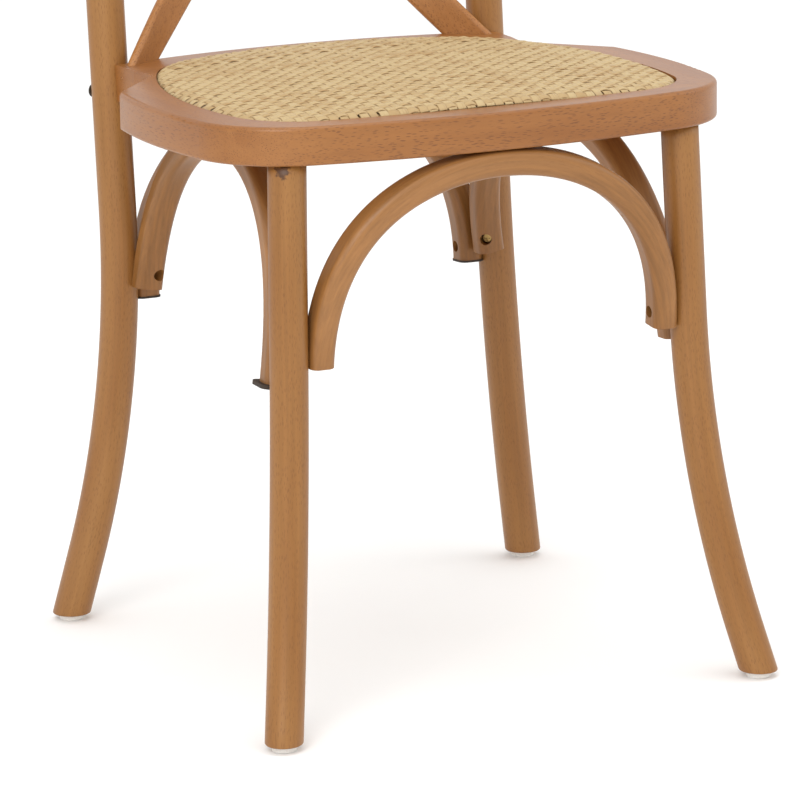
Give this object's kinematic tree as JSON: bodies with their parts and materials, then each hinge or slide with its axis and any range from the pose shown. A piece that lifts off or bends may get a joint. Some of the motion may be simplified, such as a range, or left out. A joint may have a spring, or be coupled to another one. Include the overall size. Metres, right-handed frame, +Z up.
{
  "type": "dining chair",
  "caption": "Bentwood dining chair with a hooped cross back, splayed round legs, arched braces below the seat, and a domed woven rattan panel set in a wooden seat ring.",
  "frame": {"origin": "on the floor, under the middle of the chair's bounding box", "axes": "+Z up, the chair faces -Y, +X to the right as seen from the front"},
  "size_m": [0.444, 0.4772, 0.885],
  "materials": {
    "beech": "clear satin lacquer",
    "dowel_beech": "bare",
    "plywood": "bare",
    "rattan": "dry woven straw",
    "yellow_zinc_steel": "yellow zinc plate",
    "bronzed_steel": "dark bronze",
    "plain_steel": "plain",
    "black_rubber": "matt",
    "glide_plastic": "matt"
  },
  "bodies": {
    "root": {"arch_crown_screws": "yellow_zinc_steel", "arch_end_pads": "black_rubber", "back_hoop": "beech", "front_arch": "beech", "front_arch_screws": "yellow_zinc_steel", "front_leg_left": "beech", "front_leg_right": "beech", "front_rail_dowels": "dowel_beech", "glide_front_left": "glide_plastic", "glide_front_right": "glide_plastic", "glide_rear_left": "glide_plastic", "glide_rear_right": "glide_plastic", "left_arch": "beech", "left_arch_screws": "yellow_zinc_steel", "post_bolts": "bronzed_steel", "post_insert_nuts": "plain_steel", "rattan_panel": "rattan", "rear_arch": "beech", "rear_arch_screws": "yellow_zinc_steel", "rear_rail_dowels": "dowel_beech", "right_arch": "beech", "right_arch_screws": "yellow_zinc_steel", "seat_board": "plywood", "seat_board_screws": "yellow_zinc_steel", "seat_front_rail": "beech", "seat_left_rail": "beech", "seat_rear_rail": "beech", "seat_right_rail": "beech", "slat_cross_screw": "yellow_zinc_steel", "slat_left_foot": "beech", "slat_pins": "plain_steel", "slat_right_foot": "beech"}
  },
  "joints": []
}
